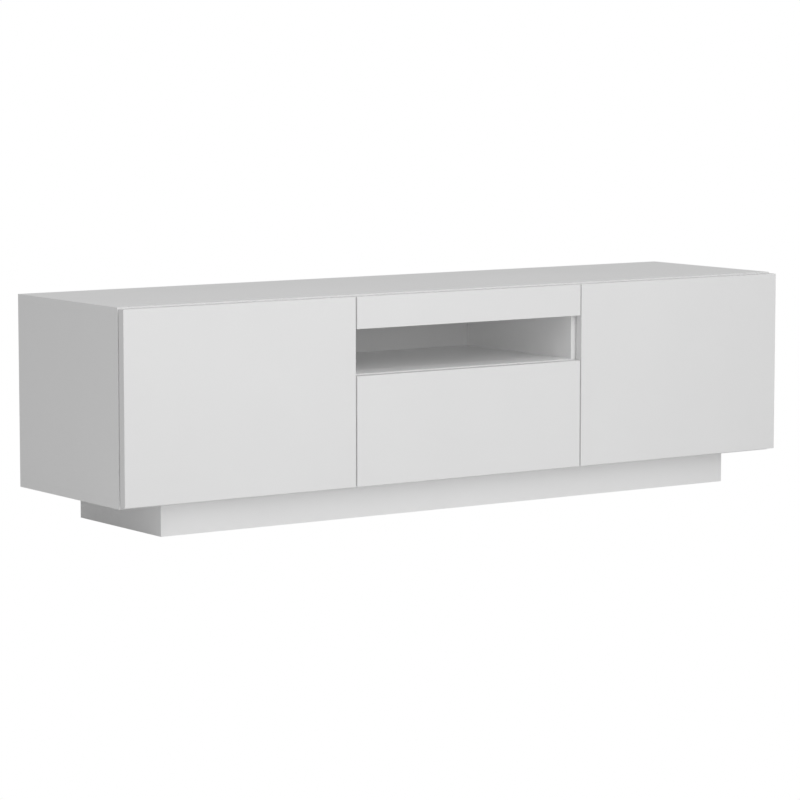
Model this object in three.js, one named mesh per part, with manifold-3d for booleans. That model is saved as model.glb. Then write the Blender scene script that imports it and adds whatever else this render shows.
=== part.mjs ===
// Low TV stand: two hinged doors, an open niche with a drawer under it, on a recessed plinth.
// Millimetres, +Z up, +X to the right seen from the front, -Y towards the viewer.
// The origin is on the floor, under the middle of the stand.
import * as THREE from 'three';
import { mergeVertices } from 'three/addons/utils/BufferGeometryUtils.js';
import Module from 'manifold-3d';

// ---------- Driving dimensions ----------

// Overall size, fronts included.
const width = 1600;
const depth = 410;
const height = 445;

// Board thicknesses.
const board = 16;
const frontBoard = 18;
const drawerBoard = 12;
const thinBoard = 3;

// Plinth.
const plinthHeight = 64;
const plinthSideInset = 106;
const plinthFrontInset = 48;
const plinthBackInset = 52;
const plinthBraceX = 230;

// Fronts: doors, fascia and drawer front.
const frontGap = 4;
const frontReveal = 3;
const frontTopDrop = 2.5;
const frontBottomRise = 4.5;
const centreWidth = 550;
const fasciaHeight = 63.5;
const battenThickness = 16;

// Niche between the fascia and the drawer.
const nicheHeight = 90.5;
const drawerFrontDrop = 2;
const dividerOverlap = 7;

// Back panels, which sit in grooves.
const backPanelInset = 22;
const grooveDepth = 5;
const grooveClearance = 0.3;

// Adjustable shelves and the rows of holes for their supports.
const shelfHeight = 166;
const shelfSetback = 20;
const shelfRearGap = 2;
const shelfEndGap = 1;
const supportRowInset = 37;
const supportPitch = 32;
const supportHolesEachWay = 1;
const supportPegRadius = 2.4;
const supportPegLength = 9;
const supportPegClearance = 0.2;
const supportHoleEndGap = 1;
const supportReach = 8;
const supportPlateWidth = 10;
const supportPlateHeight = 5;

// Concealed hinges.
const hingeEndInset = 72;
const hingePivotInset = 8;
const hingePivotFromDoorBack = 9;
const hingePinRadius = 1.3;
const cupEdgeInset = 3.3;
const cupRadius = 17.2;
const cupDepth = 12.8;
const cupWall = 1;
const cupFloor = 0.7;
const cupBoreClearance = 0.4;
const cupBoreEndGap = 0.2;
const cupFlangeThickness = 1.2;
const cupFlangeInset = 4;
const cupFlangeMargin = 2.3;
const cupFlangeHeight = 60;
const armEyeClearance = 0.2;
const armEyeWall = 1.1;
const armStripThickness = 2.4;
const armStripHeight = 10;
const armStripRise = 5;
const armBodyFrontGap = 2;
const armBodyLength = 70;
const armBodyHeight = 14;
const armBodyThickness = 10;
const armWall = 2;
const hingePlateThickness = 2;
const hingePlateWingSetback = 30;
const hingePlateWingLength = 20;
const hingePlateWingHeight = 56;
const hingePlateSpineSetback = 8;
const hingePlateSpineLength = 68;

// Drawer box and its ball-bearing runners.
const drawerTopGap = 22.5;
const drawerSideRise = 14;
const drawerBottomRise = 10;
const drawerBoxRearGap = 12;
const runnerSetback = 2;
const runnerRearGap = 11;
const runnerWidth = 12.5;
const runnerHeight = 45;
const runnerWall = 1.2;
const runnerCentreRise = 30;
const runnerWebGap = 1.3;
const runnerBallGap = 2.5;
const runnerOuterShortfall = 3;
const runnerMiddleShortfall = 2;

// Push latches.
const latchLength = 70;
const latchSetback = 2;
const latchThickness = 12;
const latchHeight = 20;
const latchTopGap = 4;
const plungerRadius = 4;
const plungerClearance = 0.3;
const plungerBoreDepth = 46;
const plungerBackGap = 6.7;
const plungerHeadRadius = 5.5;
const plungerHeadLength = 2.5;
const plungerTipGap = 0.3;

// Facets of the round pieces, and how far a cutter runs past the face it opens.
const smallFacets = 12;
const cupFacets = 32;
const overcut = 1;

// ---------- Derived planes ----------

const halfWidth = width / 2;
const frontY = -depth / 2;
const rearY = depth / 2;
const frontBackY = frontY + frontBoard;
const carcassFrontY = frontBackY + frontGap;
const bottomTopZ = plinthHeight + board;
const topUndersideZ = height - board;
const frontTopZ = height - frontTopDrop;
const frontBottomZ = plinthHeight + frontBottomRise;
const fasciaBottomZ = frontTopZ - fasciaHeight;
const nicheFloorZ = fasciaBottomZ - nicheHeight;
const nicheShelfUndersideZ = nicheFloorZ - board;
const drawerFrontTopZ = nicheFloorZ - drawerFrontDrop;
const halfCentre = centreWidth / 2;
const doorInnerX = halfCentre + frontReveal;
const dividerInnerX = halfCentre - dividerOverlap;
const dividerOuterX = dividerInnerX + board;
const sideInnerX = halfWidth - board;
const backPanelRearY = rearY - backPanelInset;
const backPanelFrontY = backPanelRearY - thinBoard;
const shelfUndersideZ = bottomTopZ + shelfHeight;
const cupCentreInset = cupEdgeInset + cupRadius;
const hingePivotX = halfWidth - hingePivotInset;
const hingePivotY = frontBackY - hingePivotFromDoorBack;
const hingeHeights = [frontBottomZ + hingeEndInset, frontTopZ - hingeEndInset];

// ---------- Materials ----------

const whiteFront = new THREE.MeshStandardMaterial({ color: 0xe6e6e6, roughness: 0.45, metalness: 0 });
const whiteBoard = new THREE.MeshStandardMaterial({ color: 0xe2e2e2, roughness: 0.5, metalness: 0 });
const whiteThinBoard = new THREE.MeshStandardMaterial({ color: 0xdcdcdc, roughness: 0.6, metalness: 0 });
const drawerWhite = new THREE.MeshStandardMaterial({ color: 0xdedede, roughness: 0.6, metalness: 0 });
const nickel = new THREE.MeshStandardMaterial({ color: 0xb8b6b0, roughness: 0.3, metalness: 1 });
const zinc = new THREE.MeshStandardMaterial({ color: 0xa9adb0, roughness: 0.4, metalness: 1 });
const greyPlastic = new THREE.MeshStandardMaterial({ color: 0xc4c6c8, roughness: 0.55, metalness: 0 });
const whitePlastic = new THREE.MeshStandardMaterial({ color: 0xe8e8e6, roughness: 0.5, metalness: 0 });

// ---------- Solid modelling helpers ----------

const wasm = await Module();
wasm.setup();

function toSolid(geometry) {
  const bare = geometry.clone();
  bare.deleteAttribute('normal');
  bare.deleteAttribute('uv');
  const merged = mergeVertices(bare);
  return new wasm.Manifold(new wasm.Mesh({
    numProp: 3,
    vertProperties: merged.attributes.position.array,
    triVerts: new Uint32Array(merged.index.array),
  }));
}

function toGeometry(solid) {
  const mesh = solid.getMesh();
  const indexed = new THREE.BufferGeometry();
  indexed.setAttribute('position', new THREE.BufferAttribute(mesh.vertProperties, 3));
  indexed.setIndex(new THREE.BufferAttribute(mesh.triVerts, 1));
  const flat = indexed.toNonIndexed();
  flat.computeVertexNormals();
  return flat;
}

function cut(geometry, cutters) {
  const solid = cutters.reduce((left, cutter) => left.subtract(toSolid(cutter)), toSolid(geometry));
  return toGeometry(solid);
}

function join(geometries) {
  const [first, ...others] = geometries.map(toSolid);
  return toGeometry(others.reduce((sum, solid) => sum.add(solid), first));
}

// Faces that touch share one plane: every span is kept on a grid that a 32-bit number holds exactly.
const gridPerMillimetre = 64;

function onGrid(value) {
  return Math.round(value * gridPerMillimetre) / gridPerMillimetre;
}

function boxGeometry(spans) {
  const [x, y, z] = spans.map((span) => span.map(onGrid));
  const geometry = new THREE.BoxGeometry(x[1] - x[0], y[1] - y[0], z[1] - z[0]);
  return geometry.translate((x[0] + x[1]) / 2, (y[0] + y[1]) / 2, (z[0] + z[1]) / 2);
}

function grown(spans, margin) {
  return spans.map(([low, high]) => [low - margin, high + margin]);
}

// A span on one side of the middle plane, from its distance nearer to the middle to its farther one.
function mirrored(side, near, far) {
  return side > 0 ? [near, far] : [-far, -near];
}

function addPiece(group, name, geometry, material, position = [0, 0, 0]) {
  const piece = new THREE.Mesh(geometry, material);
  piece.name = name;
  piece.position.set(...position.map(onGrid));
  group.add(piece);
  return piece;
}

// A board that fills three [low, high] spans, less what the cutters take out of it.
function addBoard(group, name, material, spans, cutters = []) {
  const blank = boxGeometry(spans);
  const shape = cutters.length ? cut(blank, cutters) : blank;
  const middle = spans.map(([low, high]) => onGrid((onGrid(low) + onGrid(high)) / 2));
  shape.translate(-middle[0], -middle[1], -middle[2]);
  return addPiece(group, name, shape, material, middle);
}

// A round bar or hole along X, Y or Z, centred on a point.
function rod(axis, radius, length, centre, facets = smallFacets) {
  const geometry = new THREE.CylinderGeometry(radius, radius, length, facets);
  if (axis === 'x') geometry.rotateZ(Math.PI / 2);
  if (axis === 'z') geometry.rotateX(Math.PI / 2);
  return geometry.translate(...centre);
}

// An outline of [x, z] points, pushed back along +Y by a length.
function extrudeAlongY(points, length) {
  const outline = new THREE.Shape(points.map(([x, z]) => new THREE.Vector2(x, z)));
  const geometry = new THREE.ExtrudeGeometry(outline, { depth: length, bevelEnabled: false });
  return geometry.rotateX(Math.PI / 2).translate(0, length, 0);
}

// An outline in X and Y, raised evenly above and below its own plane.
function extrudeAlongZ(outline, length, facets = smallFacets) {
  const options = { depth: length, bevelEnabled: false, curveSegments: facets };
  return new THREE.ExtrudeGeometry(outline, options).translate(0, 0, -length / 2);
}

// ---------- Back panels and their grooves ----------

const backPanelSpans = {
  left: [
    [-sideInnerX - grooveDepth, -dividerOuterX + grooveDepth],
    [backPanelFrontY, backPanelRearY],
    [bottomTopZ - grooveDepth, topUndersideZ + grooveDepth],
  ],
  centre: [
    [-dividerInnerX - grooveDepth, dividerInnerX + grooveDepth],
    [backPanelFrontY, backPanelRearY],
    [bottomTopZ - grooveDepth, topUndersideZ + grooveDepth],
  ],
  right: [
    [dividerOuterX - grooveDepth, sideInnerX + grooveDepth],
    [backPanelFrontY, backPanelRearY],
    [bottomTopZ - grooveDepth, topUndersideZ + grooveDepth],
  ],
};

function grooveFor(panel) {
  return boxGeometry(grown(backPanelSpans[panel], grooveClearance));
}

function addBackPanels(group) {
  for (const panel of Object.keys(backPanelSpans)) {
    addBoard(group, `${panel}_back_panel`, whiteThinBoard, backPanelSpans[panel]);
  }
}

// ---------- Shelves and their supports ----------

const supportRowsY = [carcassFrontY + shelfSetback + supportRowInset, backPanelFrontY - supportRowInset];
const supportZ = shelfUndersideZ - supportPlateHeight / 2;
const supportHoleRadius = supportPegRadius + supportPegClearance;
const supportHoleDepth = supportPegLength + supportHoleEndGap;

// Rows of support holes in the face at faceX, drilled towards drillSign.
function supportHoles(faceX, drillSign) {
  const holes = [];
  for (const y of supportRowsY) {
    for (let step = -supportHolesEachWay; step <= supportHolesEachWay; step += 1) {
      const x = faceX + drillSign * (supportHoleDepth - overcut) / 2;
      const centre = [x, y, supportZ + step * supportPitch];
      holes.push(rod('x', supportHoleRadius, supportHoleDepth + overcut, centre));
    }
  }
  return holes;
}

// A plug-in shelf support: a peg in the panel at faceX and a block under the shelf.
function addSupport(group, name, faceX, drillSign, y) {
  const reachFrom = faceX - drillSign * supportReach;
  const block = boxGeometry([
    [Math.min(faceX, reachFrom), Math.max(faceX, reachFrom)],
    [y - supportPlateWidth / 2, y + supportPlateWidth / 2],
    [supportZ - supportPlateHeight / 2, supportZ + supportPlateHeight / 2],
  ]);
  const pegOverlap = 2;
  const pegCentreX = faceX + drillSign * (supportPegLength - pegOverlap) / 2;
  const peg = rod('x', supportPegRadius, supportPegLength + pegOverlap, [pegCentreX, y, supportZ]);
  addPiece(group, name, join([block, peg]), whitePlastic);
}

function addCompartmentShelf(group, side) {
  const label = side < 0 ? 'left' : 'right';
  addBoard(group, `${label}_shelf`, whiteBoard, [
    mirrored(side, dividerOuterX + shelfEndGap, sideInnerX - shelfEndGap),
    [carcassFrontY + shelfSetback, backPanelFrontY - shelfRearGap],
    [shelfUndersideZ, shelfUndersideZ + board],
  ]);
  const rows = { front: supportRowsY[0], rear: supportRowsY[1] };
  for (const [row, y] of Object.entries(rows)) {
    addSupport(group, `${label}_shelf_support_outer_${row}`, side * sideInnerX, side, y);
    addSupport(group, `${label}_shelf_support_inner_${row}`, side * dividerOuterX, -side, y);
  }
}

// ---------- Carcass ----------

function addCarcass(group) {
  const carcassX = [-halfWidth, halfWidth];
  const carcassY = [carcassFrontY, rearY];
  const allGrooves = Object.keys(backPanelSpans).map(grooveFor);
  addBoard(group, 'top_panel', whiteBoard, [carcassX, carcassY, [topUndersideZ, height]], allGrooves);
  addBoard(group, 'bottom_panel', whiteBoard, [carcassX, carcassY, [plinthHeight, bottomTopZ]], allGrooves);
  for (const side of [-1, 1]) {
    const label = side < 0 ? 'left' : 'right';
    const upright = [bottomTopZ, topUndersideZ];
    addBoard(group, `${label}_side_panel`, whiteBoard,
      [mirrored(side, sideInnerX, halfWidth), carcassY, upright],
      [grooveFor(label), ...supportHoles(side * sideInnerX, side)]);
    addBoard(group, `${label}_divider`, whiteBoard,
      [mirrored(side, dividerInnerX, dividerOuterX), carcassY, upright],
      [grooveFor(label), grooveFor('centre'), ...supportHoles(side * dividerOuterX, -side)]);
    addCompartmentShelf(group, side);
  }
  addBoard(group, 'niche_shelf', whiteBoard, [
    [-dividerInnerX, dividerInnerX],
    [carcassFrontY, backPanelFrontY],
    [nicheShelfUndersideZ, nicheFloorZ],
  ]);
  addBackPanels(group);
}

function addFascia(group) {
  addBoard(group, 'fascia', whiteFront, [
    [-halfCentre, halfCentre],
    [frontY, frontBackY],
    [fasciaBottomZ, frontTopZ],
  ]);
  addBoard(group, 'fascia_batten', whiteBoard, [
    [-dividerInnerX, dividerInnerX],
    [frontBackY, frontBackY + battenThickness],
    [fasciaBottomZ, topUndersideZ],
  ]);
}

// ---------- Plinth ----------

function addPlinth(group) {
  const plinthX = halfWidth - plinthSideInset;
  const plinthFrontY = frontY + plinthFrontInset;
  const plinthRearY = rearY - plinthBackInset;
  const upright = [0, plinthHeight];
  const between = [plinthFrontY + board, plinthRearY - board];
  addBoard(group, 'plinth_front', whiteBoard,
    [[-plinthX, plinthX], [plinthFrontY, plinthFrontY + board], upright]);
  addBoard(group, 'plinth_back', whiteBoard,
    [[-plinthX, plinthX], [plinthRearY - board, plinthRearY], upright]);
  for (const side of [-1, 1]) {
    const label = side < 0 ? 'left' : 'right';
    addBoard(group, `plinth_${label}`, whiteBoard,
      [mirrored(side, plinthX - board, plinthX), between, upright]);
    addBoard(group, `plinth_${label}_brace`, whiteBoard,
      [mirrored(side, plinthBraceX, plinthBraceX + board), between, upright]);
  }
}

// ---------- Doors and hinges ----------

function addDoor(group, side) {
  const label = side < 0 ? 'left' : 'right';
  const cupX = side * (halfWidth - cupCentreInset);
  const boreRadius = cupRadius + cupBoreClearance;
  const boreDepth = cupDepth + cupBoreEndGap;
  const boreY = frontBackY + (overcut - boreDepth) / 2;
  const boreLength = boreDepth + overcut;
  const bores = hingeHeights.map((z) => rod('y', boreRadius, boreLength, [cupX, boreY, z], cupFacets));
  addBoard(group, `${label}_door`, whiteFront,
    [mirrored(side, doorInnerX, halfWidth), [frontY, frontBackY], [frontBottomZ, frontTopZ]], bores);
}

// The cup in the door, with its screw flange on the door's back and the hinge pin across its mouth.
// Local origin: the pin's axis. inward points from the door's outer edge towards its free edge.
function cupGeometry(inward) {
  const cupX = inward * (cupCentreInset - hingePivotInset);
  const backY = hingePivotFromDoorBack;
  const outsideY = backY - cupDepth;
  const rimY = backY + cupFlangeThickness / 2;
  const innerRadius = cupRadius - cupWall;
  const profile = [
    new THREE.Vector2(0, outsideY),
    new THREE.Vector2(cupRadius, outsideY),
    new THREE.Vector2(cupRadius, rimY),
    new THREE.Vector2(innerRadius, rimY),
    new THREE.Vector2(innerRadius, outsideY + cupFloor),
    new THREE.Vector2(0, outsideY + cupFloor),
  ];
  const shell = new THREE.LatheGeometry(profile, cupFacets).translate(cupX, 0, 0);
  const near = inward * (cupFlangeInset - hingePivotInset);
  const far = cupX + inward * (cupRadius + cupFlangeMargin);
  const flangeBlank = boxGeometry([
    [Math.min(near, far), Math.max(near, far)],
    [backY, backY + cupFlangeThickness],
    [-cupFlangeHeight / 2, cupFlangeHeight / 2],
  ]);
  const mouth = rod('y', innerRadius, 3 * cupFlangeThickness, [cupX, backY, 0], cupFacets);
  const pinLength = 2 * Math.sqrt(cupRadius ** 2 - (Math.abs(cupX) + hingePinRadius) ** 2);
  const pin = rod('z', hingePinRadius, pinLength, [0, 0, 0]);
  return join([shell, cut(flangeBlank, [mouth]), pin]);
}

// The arm: an eye round the pin, a strip bent like a swan's neck out of the cup, and a channel-shaped body.
function armGeometry(inward) {
  const half = armStripThickness / 2;
  const bendX = board + armStripRise - hingePivotInset;
  const bodyStartY = carcassFrontY - hingePivotY + armBodyFrontGap;
  const stripEndY = bodyStartY + armWall;
  const strip = new THREE.Shape([
    [0, -half],
    [bendX - half, -half],
    [bendX + half, half],
    [bendX + half, stripEndY],
    [bendX - half, stripEndY],
    [bendX - half, half],
    [0, half],
  ].map(([x, y]) => new THREE.Vector2(inward * x, y)));
  const neck = extrudeAlongZ(strip, armStripHeight);
  const eyeBore = hingePinRadius + armEyeClearance;
  const eye = rod('z', eyeBore + armEyeWall, armStripHeight, [0, 0, 0], cupFacets / 2);
  const bodyNear = board + hingePlateThickness - hingePivotInset;
  const bodyFar = bodyNear + armBodyThickness;
  const bodyX = (near, far) => [Math.min(inward * near, inward * far), Math.max(inward * near, inward * far)];
  const body = boxGeometry([
    bodyX(bodyNear, bodyFar),
    [bodyStartY, bodyStartY + armBodyLength],
    [-armBodyHeight / 2, armBodyHeight / 2],
  ]);
  const channel = boxGeometry([
    bodyX(bodyNear + armWall, bodyFar + armWall),
    [bodyStartY + armWall, bodyStartY + armBodyLength - armWall],
    [-armBodyHeight / 2 + armWall, armBodyHeight / 2 - armWall],
  ]);
  const bore = rod('z', eyeBore, armStripHeight + 2 * overcut, [0, 0, 0]);
  return cut(join([cut(body, [channel]), neck, eye]), [bore]);
}

// The mounting plate, screwed to the inner face of the side panel: a spine under the arm and two wings.
function hingePlateGeometry(inward) {
  const plateX = [0, inward * hingePlateThickness].sort((a, b) => a - b);
  const spine = boxGeometry([
    plateX,
    [hingePlateSpineSetback, hingePlateSpineSetback + hingePlateSpineLength],
    [-armBodyHeight / 2, armBodyHeight / 2],
  ]);
  const wings = boxGeometry([
    plateX,
    [hingePlateWingSetback, hingePlateWingSetback + hingePlateWingLength],
    [-hingePlateWingHeight / 2, hingePlateWingHeight / 2],
  ]);
  return join([spine, wings]);
}

function addHinges(group, side) {
  const label = side < 0 ? 'left' : 'right';
  const inward = -side;
  const pivot = [side * hingePivotX, hingePivotY];
  hingeHeights.forEach((z, index) => {
    const place = index === 0 ? 'lower' : 'upper';
    const hinge = new THREE.Group();
    hinge.position.set(0, 0, onGrid(z));
    addPiece(hinge, `${label}_${place}_hinge_cup`, cupGeometry(inward), nickel, [...pivot, 0]);
    addPiece(hinge, `${label}_${place}_hinge_arm`, armGeometry(inward), nickel, [...pivot, 0]);
    addPiece(hinge, `${label}_${place}_hinge_plate`, hingePlateGeometry(inward), nickel,
      [side * sideInnerX, carcassFrontY, 0]);
    group.add(hinge);
  });
}

// ---------- Drawer and runners ----------

const runnerLength = backPanelFrontY - carcassFrontY - runnerSetback - runnerRearGap;
const runnerFrontY = carcassFrontY + runnerSetback;
const drawerOuterX = dividerInnerX - runnerWidth;
const drawerInnerX = drawerOuterX - drawerBoard;
const drawerRearY = runnerFrontY + runnerLength - drawerBoxRearGap;
const drawerSideBottomZ = bottomTopZ + drawerSideRise;
const drawerSideTopZ = nicheShelfUndersideZ - latchThickness - drawerTopGap;
const runnerZ = drawerSideBottomZ + runnerCentreRise;
const drawerFloorZ = drawerSideBottomZ + drawerBottomRise;

// A C-shaped runner member along Y. webX and openX are the distances of the web's back and of the
// open edge from the divider.
function channelGeometry(side, webX, openX, channelHeight, length) {
  const turn = Math.sign(openX - webX);
  const half = channelHeight / 2;
  const inner = half - runnerWall;
  const outline = [
    [webX, -half],
    [openX, -half],
    [openX, -inner],
    [webX + turn * runnerWall, -inner],
    [webX + turn * runnerWall, inner],
    [openX, inner],
    [openX, half],
    [webX, half],
  ];
  return extrudeAlongY(outline.map(([x, z]) => [-side * x, z]), length);
}

function addRunner(group, side) {
  const label = side < 0 ? 'left' : 'right';
  const runner = new THREE.Group();
  runner.position.set(side * onGrid(dividerInnerX), onGrid(runnerFrontY), onGrid(runnerZ));
  const heightStep = 2 * (runnerWall + runnerBallGap);
  const middleWebX = runnerWall + runnerWebGap;
  const members = {
    outer: [0, runnerWidth - runnerOuterShortfall, runnerHeight],
    middle: [middleWebX, runnerWidth - runnerMiddleShortfall, runnerHeight - heightStep],
    inner: [runnerWidth, middleWebX + runnerWall + runnerWebGap, runnerHeight - 2 * heightStep],
  };
  for (const [member, [webX, openX, memberHeight]] of Object.entries(members)) {
    addPiece(runner, `${label}_runner_${member}`,
      channelGeometry(side, webX, openX, memberHeight, onGrid(runnerLength)), zinc);
  }
  group.add(runner);
}

function addDrawer(group) {
  const floorSpans = [
    [-drawerInnerX - grooveDepth, drawerInnerX + grooveDepth],
    [frontBackY - grooveDepth, drawerRearY],
    [drawerFloorZ, drawerFloorZ + thinBoard],
  ];
  const floorGroove = boxGeometry(grown(floorSpans, grooveClearance));
  addBoard(group, 'drawer_front', whiteFront,
    [[-halfCentre, halfCentre], [frontY, frontBackY], [frontBottomZ, drawerFrontTopZ]], [floorGroove]);
  for (const side of [-1, 1]) {
    const label = side < 0 ? 'left' : 'right';
    addBoard(group, `drawer_${label}_side`, drawerWhite, [
      mirrored(side, drawerInnerX, drawerOuterX),
      [frontBackY, drawerRearY],
      [drawerSideBottomZ, drawerSideTopZ],
    ], [floorGroove]);
  }
  addBoard(group, 'drawer_back', drawerWhite, [
    [-drawerInnerX, drawerInnerX],
    [drawerRearY - drawerBoard, drawerRearY],
    [drawerFloorZ + thinBoard, drawerSideTopZ],
  ]);
  addBoard(group, 'drawer_bottom', whiteThinBoard, floorSpans);
}

// ---------- Push latches ----------

// A box-shaped housing with a plunger that stands against the back of the front it opens.
// centre is the plunger's axis at the front edge of the carcass.
function addLatch(group, name, housingWidth, housingHeight, centre) {
  const latch = new THREE.Group();
  latch.position.set(...centre.map(onGrid));
  const blank = boxGeometry([
    [-housingWidth / 2, housingWidth / 2],
    [latchSetback, latchSetback + latchLength],
    [-housingHeight / 2, housingHeight / 2],
  ]);
  const boreRadius = plungerRadius + plungerClearance;
  const boreY = latchSetback + (plungerBoreDepth - overcut) / 2;
  const bore = rod('y', boreRadius, plungerBoreDepth + overcut, [0, boreY, 0], cupFacets / 2);
  addPiece(latch, `${name}_latch_housing`, cut(blank, [bore]), greyPlastic);

  const tipY = plungerTipGap - frontGap;
  const plungerLength = latchSetback + plungerBoreDepth - plungerBackGap - tipY;
  const chamfer = 1;
  const profile = [
    new THREE.Vector2(0, 0),
    new THREE.Vector2(plungerHeadRadius - chamfer, 0),
    new THREE.Vector2(plungerHeadRadius, chamfer),
    new THREE.Vector2(plungerHeadRadius, plungerHeadLength),
    new THREE.Vector2(plungerRadius, plungerHeadLength),
    new THREE.Vector2(plungerRadius, plungerLength),
    new THREE.Vector2(0, plungerLength),
  ];
  const plunger = new THREE.LatheGeometry(profile, cupFacets / 2);
  addPiece(latch, `${name}_latch_plunger`, plunger, whitePlastic, [0, tipY, 0]);
  group.add(latch);
}

function addLatches(group) {
  const doorLatchZ = topUndersideZ - latchTopGap - latchHeight / 2;
  for (const side of [-1, 1]) {
    const label = side < 0 ? 'left' : 'right';
    const doorLatchX = side * (dividerOuterX + latchThickness / 2);
    addLatch(group, `${label}_door`, latchThickness, latchHeight, [doorLatchX, carcassFrontY, doorLatchZ]);
  }
  addLatch(group, 'drawer', latchHeight, latchThickness,
    [0, carcassFrontY, nicheShelfUndersideZ - latchThickness / 2]);
}

// ---------- Assembly ----------

const tvStand = new THREE.Group();
tvStand.name = 'tv_stand';

for (const addSection of [addCarcass, addFascia, addPlinth, addDrawer, addLatches]) {
  const section = new THREE.Group();
  addSection(section);
  tvStand.add(section);
}
for (const side of [-1, 1]) {
  const section = new THREE.Group();
  addDoor(section, side);
  addHinges(section, side);
  addRunner(section, side);
  tvStand.add(section);
}

export default tvStand;
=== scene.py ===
"""The looks of a low white TV stand: two doors, an open niche over a drawer, and a recessed plinth."""

import math

import bmesh
import bpy
from mathutils import Matrix, Vector


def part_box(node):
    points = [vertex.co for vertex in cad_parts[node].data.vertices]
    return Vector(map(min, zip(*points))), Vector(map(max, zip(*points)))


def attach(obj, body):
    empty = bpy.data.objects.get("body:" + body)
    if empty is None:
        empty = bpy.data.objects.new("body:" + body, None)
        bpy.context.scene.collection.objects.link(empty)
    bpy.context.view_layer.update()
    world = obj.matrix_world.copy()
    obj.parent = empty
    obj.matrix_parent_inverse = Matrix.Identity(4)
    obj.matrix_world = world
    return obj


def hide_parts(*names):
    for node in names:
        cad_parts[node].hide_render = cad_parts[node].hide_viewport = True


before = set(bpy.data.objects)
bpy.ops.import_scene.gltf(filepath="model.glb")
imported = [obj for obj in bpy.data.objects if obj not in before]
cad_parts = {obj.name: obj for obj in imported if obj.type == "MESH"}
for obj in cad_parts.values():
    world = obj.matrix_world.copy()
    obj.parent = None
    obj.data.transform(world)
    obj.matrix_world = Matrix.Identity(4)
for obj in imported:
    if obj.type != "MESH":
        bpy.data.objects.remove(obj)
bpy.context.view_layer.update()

MM = 0.001
SIDES = {"left": -1, "right": 1}
HINGE_PLACES = ("lower", "upper")

# ---------- Camera ----------

CAMERA_PLACE = (-3.9532, -5.6550, 0.9718)
CAMERA_TURN_DEG = 34.742
CAMERA_DIP_DEG = 6.350
CAMERA_LENS_MM = 152.31
CAMERA_SENSOR_MM = 36.0
CAMERA_CLIP_START = 0.05
CAMERA_CLIP_END = 100.0


def make_camera():
    data = bpy.data.cameras.new("camera")
    data.lens = CAMERA_LENS_MM
    data.sensor_width = CAMERA_SENSOR_MM
    data.clip_start = CAMERA_CLIP_START
    data.clip_end = CAMERA_CLIP_END
    camera = bpy.data.objects.new("camera", data)
    camera.location = CAMERA_PLACE
    camera.rotation_euler = (math.radians(90 - CAMERA_DIP_DEG), 0, math.radians(-CAMERA_TURN_DEG))
    bpy.context.scene.collection.objects.link(camera)
    bpy.context.scene.camera = camera


# ---------- Light and floor ----------

# The world's strength as a light, and the strength of the plain backdrop that the camera sees.
AMBIENT = 0.50
BACKDROP = 1.0
# Light passes between the white boards of the niche many times before it fades.
DIFFUSE_BOUNCES = 10
FLOOR_GREY = 0.76
FLOOR_SIZE = 60.0
# The floor lies just under the plinth, so that their faces don't share a plane.
FLOOR_DROP = 0.0005
STAND_MIDDLE = (0, 0, 0.22)
# Each lamp: its direction from the stand, then distance, width and height in metres, and power in watts.
LAMPS = {
    "softbox": ((-0.03, -0.80, 0.60), 3.8, 4.0, 3.2, 48.5),
    "strip": ((-0.28, -1.0, 0.13), 3.0, 1.8, 0.5, 8.5),
}


def camera_ray_mix(tree, seen, lit, target):
    """Shows one shader to the camera and lets another meet every other ray."""
    path = tree.nodes.new("ShaderNodeLightPath")
    mix = tree.nodes.new("ShaderNodeMixShader")
    tree.links.new(path.outputs["Is Camera Ray"], mix.inputs[0])
    tree.links.new(lit, mix.inputs[1])
    tree.links.new(seen, mix.inputs[2])
    tree.links.new(mix.outputs[0], target)


def emission(tree, kind, strength):
    """Plain white light of a strength, from a node of a kind."""
    node = tree.nodes.new(kind)
    node.inputs["Color"].default_value = (1, 1, 1, 1)
    node.inputs["Strength"].default_value = strength
    return node.outputs[0]


def make_world():
    world = bpy.data.worlds.new("studio")
    bpy.context.scene.world = world
    world.use_nodes = True
    tree = world.node_tree
    tree.nodes.clear()
    output = tree.nodes.new("ShaderNodeOutputWorld")
    seen = emission(tree, "ShaderNodeBackground", BACKDROP)
    lit = emission(tree, "ShaderNodeBackground", AMBIENT)
    camera_ray_mix(tree, seen, lit, output.inputs["Surface"])


def make_lamps():
    for name, (direction, distance, width, height, power) in LAMPS.items():
        data = bpy.data.lights.new(name, "AREA")
        data.shape = "RECTANGLE"
        data.size = width
        data.size_y = height
        data.energy = power
        lamp = bpy.data.objects.new(name, data)
        towards = Vector(direction).normalized()
        lamp.location = Vector(STAND_MIDDLE) + towards * distance
        lamp.rotation_euler = towards.to_track_quat("Z", "Y").to_euler()
        bpy.context.scene.collection.objects.link(lamp)


def make_floor():
    """A wide floor that throws light back up, while the camera sees only the plain backdrop."""
    half = FLOOR_SIZE / 2
    corners = [(-half, -half, 0), (half, -half, 0), (half, half, 0), (-half, half, 0)]
    mesh = bpy.data.meshes.new("floor")
    mesh.from_pydata(corners, [], [(0, 1, 2, 3)])
    floor = bpy.data.objects.new("floor", mesh)
    bpy.context.scene.collection.objects.link(floor)
    floor.location.z = -FLOOR_DROP
    material = bpy.data.materials.new("floor_pale")
    material.use_nodes = True
    tree = material.node_tree
    tree.nodes.clear()
    output = tree.nodes.new("ShaderNodeOutputMaterial")
    paint = tree.nodes.new("ShaderNodeBsdfDiffuse")
    paint.inputs["Color"].default_value = (FLOOR_GREY, FLOOR_GREY, FLOOR_GREY, 1)
    seen = emission(tree, "ShaderNodeEmission", BACKDROP)
    camera_ray_mix(tree, seen, paint.outputs[0], output.inputs["Surface"])
    mesh.materials.append(material)


# ---------- Node helpers ----------

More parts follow.
